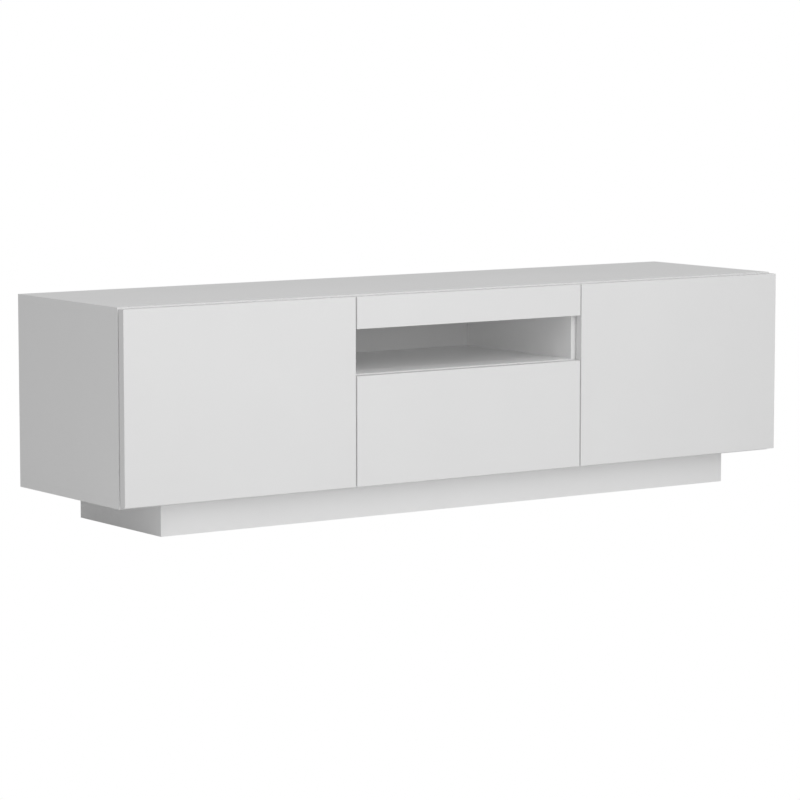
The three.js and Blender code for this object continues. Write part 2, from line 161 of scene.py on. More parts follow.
# A Mix node's colour sockets go by number, because its other sockets have the same names.
MIX_FACTOR = 0
MIX_COLOURS = (6, 7)
MIX_RESULT = 2
# Most of a noise's values lie between these two.
NOISE_LOW = 0.3
NOISE_HIGH = 0.7


class Finish:
    """One procedural material and the shorthand that wires its nodes."""

    def __init__(self, name, roughness, metallic=0.0):
        self.material = bpy.data.materials.new(name)
        self.material.use_nodes = True
        self.tree = self.material.node_tree
        self.shader = self.tree.nodes["Principled BSDF"]
        self.shader.inputs["Roughness"].default_value = roughness
        self.shader.inputs["Metallic"].default_value = metallic
        self.place = self.add("ShaderNodeTexCoord")

    def add(self, kind, values=None, links=None, **settings):
        node = self.tree.nodes.new(kind)
        for key, value in settings.items():
            setattr(node, key, value)
        for key, value in (values or {}).items():
            node.inputs[key].default_value = value
        for key, source in (links or {}).items():
            self.tree.links.new(source, node.inputs[key])
        return node

    def coordinates(self, stretch=(1, 1, 1)):
        """Object coordinates in metres, which move with the piece, squeezed along an axis if asked."""
        if stretch == (1, 1, 1):
            return self.place.outputs["Object"]
        node = self.add("ShaderNodeMapping", {"Scale": stretch}, {"Vector": self.place.outputs["Object"]})
        return node.outputs["Vector"]

    def noise(self, per_metre, detail=2.0, stretch=(1, 1, 1), roughness=0.5):
        values = {"Scale": per_metre, "Detail": detail, "Roughness": roughness}
        node = self.add("ShaderNodeTexNoise", values, {"Vector": self.coordinates(stretch)})
        return node.outputs["Fac"]

    def cells(self, per_metre):
        node = self.add("ShaderNodeTexVoronoi", {"Scale": per_metre}, {"Vector": self.coordinates()})
        return node.outputs["Distance"]

    def remap(self, source, low, high, from_low=NOISE_LOW, from_high=NOISE_HIGH):
        """Maps the range from_low to from_high onto low to high, and stays at the ends beyond it."""
        values = {"From Min": from_low, "From Max": from_high, "To Min": low, "To Max": high}
        return self.add("ShaderNodeMapRange", values, {"Value": source}).outputs["Result"]

    def maths(self, operation, first, second=None):
        """A calculation on one or two terms: each a number or another node's value."""
        node = self.add("ShaderNodeMath", operation=operation)
        for index, value in enumerate((first, second)):
            if isinstance(value, (int, float)):
                node.inputs[index].default_value = value
            elif value is not None:
                self.tree.links.new(value, node.inputs[index])
        return node.outputs["Value"]

    def mix(self, factor, first, second):
        """A colour between two: each a linear grey, an RGB value or another node's colour."""
        node = self.add("ShaderNodeMix", data_type="RGBA")
        self.tree.links.new(factor, node.inputs[MIX_FACTOR])
        for index, value in zip(MIX_COLOURS, (first, second)):
            if isinstance(value, (int, float)):
                node.inputs[index].default_value = (value, value, value, 1)
            elif isinstance(value, tuple):
                node.inputs[index].default_value = (*value, 1)
            else:
                self.tree.links.new(value, node.inputs[index])
        return node.outputs[MIX_RESULT]

    def bump(self, height, depth_mm, strength, under=None):
        """A normal from a height, laid over another bump if one is given."""
        links = {"Height": height}
        if under is not None:
            links["Normal"] = under
        node = self.add("ShaderNodeBump", {"Strength": strength, "Distance": depth_mm * MM}, links)
        return node.outputs["Normal"]

    def use(self, colour, roughness, normal):
        for key, source in (("Base Color", colour), ("Roughness", roughness), ("Normal", normal)):
            self.tree.links.new(source, self.shader.inputs[key])
        return self.material

    def axis(self, output, letter):
        node = self.add("ShaderNodeSeparateXYZ", links={"Vector": self.place.outputs[output]})
        return node.outputs[letter]


# ---------- Materials ----------

WHITE_FRONT = 0.845
WHITE_BOARD = 0.90
EDGE_BAND_MM = 0.8
GLUE_LINE_HALF_MM = 0.05
GLUE_LINE = (0.62, 0.60, 0.57)
FOIL_DARK = 0.735
FOIL_LIGHT = 0.765
# The linen print adds up two noises, so its values spread round 1.
LINEN_LOW = 0.7
LINEN_HIGH = 1.3
PRINT_DARK = 0.735
PRINT_LIGHT = 0.755
RAW_BOARD_DARK = (0.400, 0.315, 0.225)
RAW_BOARD_LIGHT = (0.510, 0.415, 0.308)
NICKEL_DARK = (0.60, 0.585, 0.555)
NICKEL_LIGHT = (0.70, 0.69, 0.67)
ZINC_DARK = (0.50, 0.52, 0.545)
ZINC_LIGHT = (0.63, 0.65, 0.67)


def front_lacquer():
    """Sprayed satin white: a trace of orange peel, long soft waves, and slight cloudiness in the sheen."""
    finish = Finish("front_lacquer", roughness=0.42)
    cloud = finish.noise(4.0, detail=3.0)
    colour = finish.mix(finish.remap(cloud, 0, 1), WHITE_FRONT * 0.988, WHITE_FRONT * 1.006)
    sheen = finish.remap(finish.noise(14.0, detail=4.0), 0.37, 0.46)
    waves = finish.bump(finish.noise(9.0, detail=1.0), depth_mm=0.10, strength=0.35)
    peel = finish.bump(finish.noise(520.0), depth_mm=0.018, strength=0.35, under=waves)
    return finish.use(colour, sheen, peel)


def board_melamine(front_y):
    """White melamine: fine pearl embossing, and an edge band along the front whose glue line just shows."""
    finish = Finish("board_melamine", roughness=0.46)
    cloud = finish.noise(3.0, detail=3.0)
    white = finish.mix(finish.remap(cloud, 0, 1), WHITE_BOARD * 0.986, WHITE_BOARD * 1.006)
    pearl = finish.cells(1400.0)
    grain = finish.noise(700.0, detail=3.0)
    glue_line_y = front_y + EDGE_BAND_MM * MM
    behind = finish.maths("SUBTRACT", finish.axis("Object", "Y"), glue_line_y)
    on_glue_line = finish.maths("LESS_THAN", finish.maths("ABSOLUTE", behind), GLUE_LINE_HALF_MM * MM)
    colour = finish.mix(on_glue_line, white, GLUE_LINE)
    sheen = finish.remap(grain, 0.41, 0.52)
    embossed = finish.bump(pearl, depth_mm=0.020, strength=0.30)
    normal = finish.bump(grain, depth_mm=0.012, strength=0.30, under=embossed)
    return finish.use(colour, sheen, normal)


def drawer_foil():
    """Paper foil on the drawer's boards: a dry linen print under a thin varnish."""
    finish = Finish("drawer_foil", roughness=0.55)
    warp = finish.noise(260.0, stretch=(1, 1, 9))
    weft = finish.noise(260.0, stretch=(1, 7, 1))
    linen = finish.maths("ADD", warp, weft)
    colour = finish.mix(finish.remap(linen, 0, 1, LINEN_LOW, LINEN_HIGH), FOIL_DARK, FOIL_LIGHT)
    sheen = finish.remap(linen, 0.48, 0.60, LINEN_LOW, LINEN_HIGH)
    return finish.use(colour, sheen, finish.bump(linen, depth_mm=0.02, strength=0.4))


def thin_fibreboard(name, letter, sign):
    """Thin fibreboard: bare tan board with a wire-mesh imprint, and white print on one face.

    The printed face looks along the axis of that letter, up it with sign 1 and down it with sign -1.
    """
    finish = Finish(name, roughness=0.6)
    fibres = finish.noise(420.0, detail=6.0, stretch=(1.0, 1.0, 1.8), roughness=0.75)
    patches = finish.noise(7.0, detail=4.0)
    tone = finish.remap(fibres, 0, 1, from_low=0.35, from_high=0.65)
    raw = finish.mix(tone, RAW_BOARD_DARK, RAW_BOARD_LIGHT)
    worn = finish.mix(finish.remap(patches, 0, 0.35), raw, RAW_BOARD_LIGHT)
    print_cloud = finish.noise(5.0, detail=3.0)
    printed = finish.mix(finish.remap(print_cloud, 0, 1), PRINT_DARK, PRINT_LIGHT)
    along = finish.maths("MULTIPLY", finish.axis("Normal", letter), sign)
    is_printed = finish.maths("GREATER_THAN", along, 0.5)
    colour = finish.mix(is_printed, worn, printed)
    upright_wires = finish.noise(1600.0, stretch=(1, 1, 0.25))
    level_wires = finish.noise(1600.0, stretch=(0.25, 1, 1))
    wire_mesh = finish.maths("MULTIPLY", upright_wires, level_wires)
    is_raw = finish.maths("SUBTRACT", 1.0, is_printed)
    height = finish.maths("MULTIPLY", finish.maths("ADD", fibres, wire_mesh), is_raw)
    sheen = finish.remap(is_printed, 0.82, 0.52, from_low=0.0, from_high=1.0)
    return finish.use(colour, sheen, finish.bump(height, depth_mm=0.03, strength=0.35))


def nickel_plate():
    """Pressed and nickel-plated steel: faint die marks and a warm, slightly uneven shine."""
    finish = Finish("nickel_plate", roughness=0.28, metallic=1.0)
    stain = finish.noise(60.0, detail=4.0)
    drawn = finish.noise(900.0, stretch=(1, 0.06, 1))
    colour = finish.mix(finish.remap(stain, 0, 1), NICKEL_DARK, NICKEL_LIGHT)
    sheen = finish.remap(stain, 0.20, 0.36)
    return finish.use(colour, sheen, finish.bump(drawn, depth_mm=0.006, strength=0.5))


def zinc_plate():
    """Cold-rolled, zinc-plated strip: rolling lines along the runner and a cloudy, bluish shine."""
    finish = Finish("zinc_plate", roughness=0.38, metallic=1.0)
    spangle = finish.noise(120.0, detail=5.0)
    rolled = finish.noise(1500.0, stretch=(1, 0.02, 1))
    colour = finish.mix(finish.remap(spangle, 0, 1), ZINC_DARK, ZINC_LIGHT)
    sheen = finish.remap(rolled, 0.28, 0.48)
    return finish.use(colour, sheen, finish.bump(rolled, depth_mm=0.006, strength=0.6))


def grained_plastic(name, dark, light, roughness):
    """Moulded plastic between two greys, with a fine spark-eroded grain and faint flow marks."""
    finish = Finish(name, roughness=roughness)
    grain = finish.noise(2600.0)
    flow = finish.noise(35.0, detail=3.0)
    colour = finish.mix(finish.remap(flow, 0, 1), dark, light)
    sheen = finish.remap(grain, roughness - 0.06, roughness + 0.08)
    return finish.use(colour, sheen, finish.bump(grain, depth_mm=0.010, strength=0.5))


def make_materials():
    carcass_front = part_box("top_panel")[0].y
    return {
        "front": front_lacquer(),
        "board": board_melamine(carcass_front),
        "drawer": drawer_foil(),
        "back": thin_fibreboard("back_fibreboard", "Y", -1.0),
        "drawer_floor": thin_fibreboard("drawer_floor_fibreboard", "Z", 1.0),
        "nickel": nickel_plate(),
        "zinc": zinc_plate(),
        "grey_plastic": grained_plastic("grey_plastic", 0.44, 0.49, 0.50),
        "white_plastic": grained_plastic("white_plastic", 0.76, 0.79, 0.42),
        "black_plastic": grained_plastic("black_plastic", 0.020, 0.028, 0.55),
    }


# ---------- Finishing the CAD nodes ----------

FRONT_NODES = ("left_door", "right_door", "fascia", "drawer_front")
DRAWER_NODES = ("drawer_left_side", "drawer_right_side", "drawer_back")
BACK_NODES = ("left_back_panel", "centre_back_panel", "right_back_panel")
WELD_REACH_MM = 0.02
BEVEL_SEGMENTS = 3
BEVEL_FROM_DEG = 50


def finish_for(node):
    """The material and the edge rounding in millimetres of a CAD node."""
    if node in FRONT_NODES:
        return "front", 0.8
    if node in DRAWER_NODES:
        return "drawer", 0.5
    if node in BACK_NODES:
        return "back", 0.0
    if node == "drawer_bottom":
        return "drawer_floor", 0.0
    if "hinge" in node:
        return "nickel", 0.35
    if "_runner_" in node:
        return "zinc", 0.3
    if "latch_housing" in node:
        return "grey_plastic", 0.6
    if "support" in node or "plunger" in node:
        return "white_plastic", 0.4
    return "board", 0.25


def finish_nodes(materials):
    """Gives each CAD node its material, and rounds its edges with modifiers."""
    for name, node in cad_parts.items():
        material, radius = finish_for(name)
        node.data.materials.clear()
        node.data.materials.append(materials[material])
        if radius == 0.0:
            continue
        weld = node.modifiers.new("weld", "WELD")
        weld.merge_threshold = WELD_REACH_MM * MM
        bevel = node.modifiers.new("edge_rounding", "BEVEL")
        bevel.width = radius * MM
        bevel.segments = BEVEL_SEGMENTS
        bevel.limit_method = "ANGLE"
        bevel.angle_limit = math.radians(BEVEL_FROM_DEG)
        bevel.use_clamp_overlap = False


# ---------- Mesh helpers ----------

SHARP_FROM_DEG = 40.0
LATHE_SEGMENTS = 48
SCREW_SEGMENTS = 24
SCREW_SHARP_FROM_DEG = 35.0
# The outline of a screw's head from its seat up, in shares of its radius and its height.
PAN_HEAD = ((1.0, 0.0), (1.0, 0.35), (0.93, 0.68), (0.78, 0.9), (0.60, 1.0))
# The cross recess: its reach and half width in shares of the head's radius, and how high its floor
# lies in shares of the head's height. The floor's outline is the rim's, scaled by the taper.
CROSS_REACH = 0.44
CROSS_HALF_WIDTH = 0.11
CROSS_FLOOR = 0.35
CROSS_TAPER = 0.8


def add_piece(name, bm, material, body, sharp_from_deg=SHARP_FROM_DEG):
    """Links a finished bmesh as an object that rides on a CAD body."""
    mesh = bpy.data.meshes.new(name)
    bmesh.ops.recalc_face_normals(bm, faces=bm.faces)
    for face in bm.faces:
        face.smooth = True
    sharp = math.radians(sharp_from_deg)
    for edge in bm.edges:
        edge.smooth = len(edge.link_faces) == 2 and edge.calc_face_angle() < sharp
    bm.to_mesh(mesh)
    bm.free()
    mesh.materials.append(material)
    piece = bpy.data.objects.new(name, mesh)
    bpy.context.scene.collection.objects.link(piece)
    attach(piece, body)
    return piece


def facing(direction):
    """A rotation that turns +Z to a direction."""
    return Vector(direction).to_track_quat("Z", "Y").to_matrix().to_4x4()


def face_x(low, high, sign):
    """The x of a box's face that looks along +X or -X."""
    return high.x if sign > 0 else low.x


def add_ring(bm, radius, height, placement, segments):
    """The vertices of a level circle round Z."""
    ring = []
    for step in range(segments):
        angle = 2 * math.pi * step / segments
        point = Vector((radius * math.cos(angle), radius * math.sin(angle), height))
        ring.append(bm.verts.new(placement @ point))
    return ring


def join_rings(bm, rings, segments):
    """Walls between each ring and the next. A ring of one vertex closes an end."""
    for lower, upper in zip(rings, rings[1:]):
        for step in range(segments):
            after = (step + 1) % segments
            corners = [lower[step % len(lower)], lower[after % len(lower)],
                       upper[after % len(upper)], upper[step % len(upper)]]
            bm.faces.new(list(dict.fromkeys(corners)))


def add_loop(bm, verts):
    """The edges round a closed loop of vertices, made where they are missing."""
    edges = []
    for step, vert in enumerate(verts):
        after = verts[(step + 1) % len(verts)]
        edges.append(bm.edges.get((vert, after)) or bm.edges.new((vert, after)))
    return edges


def add_lathe(bm, profile, placement, segments=LATHE_SEGMENTS):
    """Turns a profile of (radius, height) points in metres round Z. A radius of zero closes an end."""
    rings = []
    for radius, height in profile:
        if radius == 0:
            rings.append([bm.verts.new(placement @ Vector((0, 0, height)))])
        else:
            rings.append(add_ring(bm, radius, height, placement, segments))
    join_rings(bm, rings, segments)


def add_rounded_box(bm, low, high, radius, segments=2):
    """A box between two corners with all its edges rounded."""
    size = Vector(high) - Vector(low)
    middle = (Vector(high) + Vector(low)) / 2
    placement = Matrix.Translation(middle) @ Matrix.Diagonal((*size, 1))
    made = bmesh.ops.create_cube(bm, size=1.0, matrix=placement)
    edges = list({edge for vert in made["verts"] for edge in vert.link_edges})
    bmesh.ops.bevel(bm, geom=edges, offset=radius, segments=segments, profile=0.5, affect="EDGES")


def cross_outline(reach, half_width):
    """The twelve corners of a plus sign."""
    r, w = reach, half_width
    return [(r, -w), (r, w), (w, w), (w, r), (-w, r), (-w, w),
            (-r, w), (-r, -w), (-w, -w), (-w, -r), (w, -r), (w, -w)]


def add_cross_recess(bm, top_ring, radius_mm, height_mm, placement):
    """Fills the top of a screw's head and sinks a cross into it."""
    outline = cross_outline(CROSS_REACH * radius_mm * MM, CROSS_HALF_WIDTH * radius_mm * MM)
    top = height_mm * MM
    floor = CROSS_FLOOR * height_mm * MM
    rim = [bm.verts.new(placement @ Vector((x, y, top))) for x, y in outline]
    tapered = [(CROSS_TAPER * x, CROSS_TAPER * y) for x, y in outline]
    base = [bm.verts.new(placement @ Vector((x, y, floor))) for x, y in tapered]
    edges = add_loop(bm, top_ring) + add_loop(bm, rim)
    bmesh.ops.triangle_fill(bm, use_beauty=True, use_dissolve=False, edges=edges)
    for step in range(len(rim)):
        after = (step + 1) % len(rim)
        bm.faces.new((rim[step], rim[after], base[after], base[step]))
    bm.faces.new(base)


def add_screw(bm, seat, direction, head_mm):
    """A pan-head screw, seated on a surface and facing along direction. Its head is (radius, height)."""
    placement = Matrix.Translation(Vector(seat)) @ facing(direction)
    radius_mm, height_mm = head_mm
    rings = []
    for share, rise in PAN_HEAD:
        radius = share * radius_mm * MM
        height = rise * height_mm * MM
        rings.append(add_ring(bm, radius, height, placement, SCREW_SEGMENTS))
    bm.faces.new(list(reversed(rings[0])))
    join_rings(bm, rings, SCREW_SEGMENTS)
    add_cross_recess(bm, rings[-1], radius_mm, height_mm, placement)


def add_screws(name, seats, direction, head_mm, material, body):
    """One piece of alike screws, a screw on each seat."""
    bm = bmesh.new()
    for seat in seats:
        add_screw(bm, seat, direction, head_mm)
    add_piece(name, bm, material, body, SCREW_SHARP_FROM_DEG)


# ---------- Hinges ----------

CUP_RADIUS_MM = 17.2
CUP_EDGE_INSET_MM = 3.3
CUP_WALL_MM = 0.9
CUP_FLOOR_MM = 0.7
CUP_DEPTH_MM = 12.8
CUP_BEND_MM = 1.6
CUP_SEGMENTS = 64
# How far up into the flange the cup's wall reaches, in shares of the flange's thickness.
CUP_TOP_SHARE = 0.45
FLANGE_EDGE_INSET_MM = 4.0
FLANGE_CORNER_MM = 5.0
FLANGE_CORNER_STEPS = 8
PIN_RADIUS_MM = 1.3
PIN_SEGMENTS = 24
PIVOT_INSET_MM = 8.0
PIVOT_FROM_BACK_MM = 9.0
CUP_SCREW_OFFSET_MM = 6.0
CUP_SCREW_SPREAD_MM = 24.0
CUP_SCREW_SINK_MM = 0.2
HINGE_PLATE_MM = 2.0
ARM_WEB_MM = 2.0
ARM_SCREW_INSETS_MM = (50.0, 16.0)
PLATE_SCREW_INSET_MM = 32.0
PLATE_SCREW_SPREAD_MM = 18.0
# A screw's head: its radius and its height.
CUP_SCREW_HEAD_MM = (3.6, 1.4)
ARM_SCREW_HEAD_MM = (3.4, 3.2)
PLATE_SCREW_HEAD_MM = (3.8, 1.8)


def flange_outline(low, high):
    """The (x, z) points round a plate with rounded corners."""
    corner = FLANGE_CORNER_MM * MM
    centres = [(high.x - corner, high.z - corner), (low.x + corner, high.z - corner),
               (low.x + corner, low.z + corner), (high.x - corner, low.z + corner)]
    outline = []
    for index, (x, z) in enumerate(centres):
        for step in range(FLANGE_CORNER_STEPS + 1):
            angle = math.pi / 2 * (index + step / FLANGE_CORNER_STEPS)
            outline.append((x + corner * math.cos(angle), z + corner * math.sin(angle)))
    return outline


def hole_outline(centre, radius):
    """The (x, z) points round a circular hole."""
    outline = []
    for step in range(CUP_SEGMENTS):
        angle = 2 * math.pi * step / CUP_SEGMENTS
        outline.append((centre.x + radius * math.cos(angle), centre.z + radius * math.sin(angle)))
    return outline


def add_flange(bm, low, high, hole):
    """A plate in X and Z with rounded corners and a hole, thick along Y.

    The back copies the front face by face, because an extrusion would order its faces anew each run.
    """
    edges = []
    opposite = {}
    for outline in (flange_outline(low, high), hole):
        front = [bm.verts.new((x, low.y, z)) for x, z in outline]
        back = [bm.verts.new((x, high.y, z)) for x, z in outline]
        edges += add_loop(bm, front)
        join_rings(bm, [front, back], len(outline))
        opposite.update(zip(front, back))
    filled = bmesh.ops.triangle_fill(bm, use_beauty=True, use_dissolve=False, edges=edges)
    for face in filled["geom"]:
        if isinstance(face, bmesh.types.BMFace):
            bm.faces.new([opposite[vert] for vert in face.verts])


def cup_profile(radius, inner, top):
    """The cup's outline: from the middle of its underside up the wall, and down inside to the floor."""
    depth = CUP_DEPTH_MM * MM
    floor = -depth + CUP_FLOOR_MM * MM
    bend = CUP_BEND_MM * MM
    bend_middle = 0.3 * bend
    outside = [(0, -depth), (radius - bend, -depth), (radius - bend_middle, -depth + bend_middle),
               (radius, -depth + bend), (radius, top)]
    inside = [(inner, top), (inner, floor + bend), (inner - bend_middle, floor + bend_middle),
              (inner - bend, floor), (0, floor)]
    return outside + inside


def add_hinge_pin(bm, centre, from_cup_axis, cup_radius):
    """The upright pin, which reaches the cup's wall at both ends."""
    pin = PIN_RADIUS_MM * MM
    reach = math.sqrt(cup_radius**2 - (from_cup_axis + pin) ** 2)
    profile = [(0, -reach), (pin, -reach), (pin, reach), (0, reach)]
    add_lathe(bm, profile, Matrix.Translation(centre), PIN_SEGMENTS)


def add_hinge_cup(side, place, materials):
    """The cup with its screw flange and pin, and the two screws that hold it in the door."""
    node = f"{side}_{place}_hinge_cup"
    low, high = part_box(node)
    sign = SIDES[side]
    door_low, door_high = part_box(f"{side}_door")
    outer_x = face_x(door_low, door_high, sign)
    door_back = door_high.y
    middle_z = (low.z + high.z) / 2
    cup_x = outer_x - sign * (CUP_EDGE_INSET_MM + CUP_RADIUS_MM) * MM
    radius = CUP_RADIUS_MM * MM
    inner = radius - CUP_WALL_MM * MM
    placement = Matrix.Translation((cup_x, door_back, middle_z)) @ facing((0, 1, 0))
    bm = bmesh.new()
    top = CUP_TOP_SHARE * (high.y - door_back)
    add_lathe(bm, cup_profile(radius, inner, top), placement, CUP_SEGMENTS)
    flange_edge = outer_x - sign * FLANGE_EDGE_INSET_MM * MM
    flange_low = Vector((flange_edge if sign < 0 else low.x, door_back, low.z))
    flange_high = Vector((flange_edge if sign > 0 else high.x, high.y, high.z))
    hole = hole_outline(Vector((cup_x, 0, middle_z)), inner)
    add_flange(bm, flange_low, flange_high, hole)
    pin_x = outer_x - sign * PIVOT_INSET_MM * MM
    pin_y = door_back - PIVOT_FROM_BACK_MM * MM
    add_hinge_pin(bm, (pin_x, pin_y, middle_z), abs(cup_x - pin_x), radius)
    cup = add_piece(f"{node}_shell", bm, materials["nickel"], f"{side}_door")
    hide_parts(node)
    screw_x = cup_x - sign * CUP_SCREW_OFFSET_MM * MM
    screw_y = high.y - CUP_SCREW_SINK_MM * MM
    seats = [(screw_x, screw_y, middle_z + step * CUP_SCREW_SPREAD_MM * MM) for step in (-1, 1)]
    add_screws(f"{side}_{place}_hinge_cup_screws", seats, (0, 1, 0), CUP_SCREW_HEAD_MM,
               materials["zinc"], f"{side}_door")


def add_hinge_screws(side, place, materials):
    """The arm's adjusting and clamping screws, and the two screws that hold the plate to the side panel."""
    inward = -SIDES[side]
    arm_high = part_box(f"{side}_{place}_hinge_arm")[1]
    plate_low, plate_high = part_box(f"{side}_{place}_hinge_plate")
    middle_z = (plate_low.z + plate_high.z) / 2
    panel_low, panel_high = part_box(f"{side}_side_panel")
    plate_x = face_x(panel_low, panel_high, inward) + inward * HINGE_PLATE_MM * MM
    web_x = plate_x + inward * ARM_WEB_MM * MM
    arm_seats = [(web_x, arm_high.y - inset * MM, middle_z) for inset in ARM_SCREW_INSETS_MM]
    add_screws(f"{side}_{place}_hinge_arm_screws", arm_seats, (inward, 0, 0), ARM_SCREW_HEAD_MM,
               materials["zinc"], "cabinet")
    wing_y = plate_low.y + PLATE_SCREW_INSET_MM * MM
    plate_seats = [(plate_x, wing_y, middle_z + step * PLATE_SCREW_SPREAD_MM * MM) for step in (-1, 1)]
    add_screws(f"{side}_{place}_hinge_plate_screws", plate_seats, (inward, 0, 0), PLATE_SCREW_HEAD_MM,
               materials["zinc"], "cabinet")


# ---------- Runners and drawer ----------

BALL_RADIUS_MM = 1.15
BALL_PITCH_MM = 14.0
BALL_SUBDIVISIONS = 2
BALLS_IN_TRACK = 12
TRACK_REAR_INSET_MM = 30.0
OUTER_TRACK_FROM_DIVIDER_MM = 6.0
INNER_TRACK_FROM_DIVIDER_MM = 8.0
CAGE_HALF_WIDTH_MM = 1.7
CAGE_HALF_THICKNESS_MM = 0.3
CAGE_ROUNDING_MM = 0.1
RUNNER_WALL_MM = 1.2
RUNNER_SCREWS_MM = (35.0, 131.0, 259.0, 323.0)
RUNNER_SCREW_HEAD_MM = (3.4, 1.6)
STOP_GAP_MM = 0.3
STOP_LENGTH_MM = 5.0
STOP_DEPTH_MM = 9.0
STOP_HALF_HEIGHT_MM = 9.0
STOP_ROUNDING_MM = 0.8
DRAWER_SCREW_INSET_MM = 6.0
DRAWER_SCREW_RISES_MM = (70.0, 120.0)
DRAWER_SCREW_HEAD_MM = (3.5, 0.6)


def ball_rows(side):
    """The (x, z) of each row of balls: two between outer and middle member, two between middle and inner."""
    sign = SIDES[side]
    low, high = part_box(f"{side}_runner_middle")
    outer_low, outer_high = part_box(f"{side}_runner_outer")
    inner_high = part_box(f"{side}_runner_inner")[1]
    middle_z = (low.z + high.z) / 2
    divider_x = face_x(outer_low, outer_high, sign)
    wall = RUNNER_WALL_MM * MM
    outer_rise = (high.z + outer_high.z - wall) / 2 - middle_z
    inner_rise = (inner_high.z + high.z - wall) / 2 - middle_z
    tracks = ((outer_rise, OUTER_TRACK_FROM_DIVIDER_MM), (inner_rise, INNER_TRACK_FROM_DIVIDER_MM))
    rows = []
    for rise, from_divider in tracks:
        x = divider_x - sign * from_divider * MM
        rows += [(x, middle_z - rise), (x, middle_z + rise)]
    return rows


def add_ball_tracks(side, materials):
    """Rows of balls, each in a flat cage that reaches half a pitch past its last ball."""
    pitch = BALL_PITCH_MM * MM
    radius = BALL_RADIUS_MM * MM
    half_width = CAGE_HALF_WIDTH_MM * MM
    half_thickness = CAGE_HALF_THICKNESS_MM * MM
    first_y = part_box(f"{side}_runner_middle")[1].y - TRACK_REAR_INSET_MM * MM
    front_y = first_y - (BALLS_IN_TRACK - 0.5) * pitch
    rear_y = first_y + 0.5 * pitch
    balls = bmesh.new()
    cages = bmesh.new()
    for x, z in ball_rows(side):
        for step in range(BALLS_IN_TRACK):
            place = Matrix.Translation((x, first_y - step * pitch, z))
            bmesh.ops.create_icosphere(balls, subdivisions=BALL_SUBDIVISIONS, radius=radius, matrix=place)
        cage_low = (x - half_width, front_y, z - half_thickness)
        cage_high = (x + half_width, rear_y, z + half_thickness)
        add_rounded_box(cages, cage_low, cage_high, CAGE_ROUNDING_MM * MM, segments=1)
    body = f"{side}_runner_middle"
    add_piece(f"{side}_runner_balls", balls, materials["nickel"], body)
    add_piece(f"{side}_runner_ball_cages", cages, materials["zinc"], body)


def add_runner_screws(side, materials):
    """Screws through the inner member into the drawer's side."""
    sign = SIDES[side]
    low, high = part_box(f"{side}_runner_inner")
    middle_z = (low.z + high.z) / 2
    web_x = face_x(low, high, -sign) + sign * RUNNER_WALL_MM * MM
    seats = [(web_x, low.y + offset * MM, middle_z) for offset in RUNNER_SCREWS_MM]
    add_screws(f"{side}_runner_screws", seats, (sign, 0, 0), RUNNER_SCREW_HEAD_MM,
               materials["zinc"], "drawer")


def add_runner_stop(side, materials):
    """A rubber block on the divider, just behind the runner."""
    sign = SIDES[side]
    low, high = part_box(f"{side}_runner_outer")
    middle_z = (low.z + high.z) / 2
    divider_x = face_x(low, high, sign)
    far_x = divider_x - sign * STOP_DEPTH_MM * MM
    front_y = high.y + STOP_GAP_MM * MM
    half_height = STOP_HALF_HEIGHT_MM * MM
    stop_low = (min(divider_x, far_x), front_y, middle_z - half_height)
    stop_high = (max(divider_x, far_x), front_y + STOP_LENGTH_MM * MM, middle_z + half_height)
    stop = bmesh.new()
    add_rounded_box(stop, stop_low, stop_high, STOP_ROUNDING_MM * MM)
    add_piece(f"{side}_runner_rear_stop", stop, materials["black_plastic"], "cabinet")


def add_drawer_fixings(materials):
    """Low-headed screws through the drawer's sides into its back."""
    for side, sign in SIDES.items():
        low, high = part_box(f"drawer_{side}_side")
        x = face_x(low, high, sign)
        y = high.y - DRAWER_SCREW_INSET_MM * MM
        seats = [(x, y, low.z + rise * MM) for rise in DRAWER_SCREW_RISES_MM]
        add_screws(f"drawer_{side}_back_screws", seats, (sign, 0, 0), DRAWER_SCREW_HEAD_MM,
                   materials["zinc"], "drawer")


# ---------- Latches ----------

PLUNGER_HEAD_LENGTH_MM = 2.5
PLUNGER_STEP_MM = 1.5
PLUNGER_EDGE_MM = 0.8
PLUNGER_CHAMFER_MM = 0.3
STRIKE_RADIUS_MM = 8.0
STRIKE_THICKNESS_MM = 0.2
STRIKE_SINK_MM = 0.3
STRIKE_CHAMFER_MM = 0.4
DIMPLE_RADIUS_MM = 2.6
DIMPLE_FLOOR_RADIUS_MM = 1.2
DIMPLE_FLOOR_RISE_MM = 0.02
LATCH_SCREW_INSETS_MM = (12.0, 58.0)
LATCH_SCREW_HEAD_MM = (3.4, 1.5)


def add_plunger(node, body, materials):
    """A smooth plunger with a domed head in place of the faceted one."""
    low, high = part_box(node)
    head = (high.x - low.x) / 2
    stem = head - PLUNGER_STEP_MM * MM
    length = high.y - low.y
    lip = PLUNGER_HEAD_LENGTH_MM * MM
    edge = PLUNGER_EDGE_MM * MM
    chamfer = PLUNGER_CHAMFER_MM * MM
    dome = [(0, 0), (head - 2.2 * edge, 0.05 * MM), (head - edge, 0.35 * MM), (head, edge)]
    underside = [(head, lip - chamfer), (head - chamfer, lip), (stem, lip)]
    tail = [(stem, length - edge), (stem - edge, length), (0, length)]
    centre = ((low.x + high.x) / 2, low.y, (low.z + high.z) / 2)
    placement = Matrix.Translation(centre) @ facing((0, 1, 0))
    bm = bmesh.new()
    add_lathe(bm, dome + underside + tail, placement)
    plunger = add_piece(f"{node}_turned", bm, materials["white_plastic"], body)
    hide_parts(node)


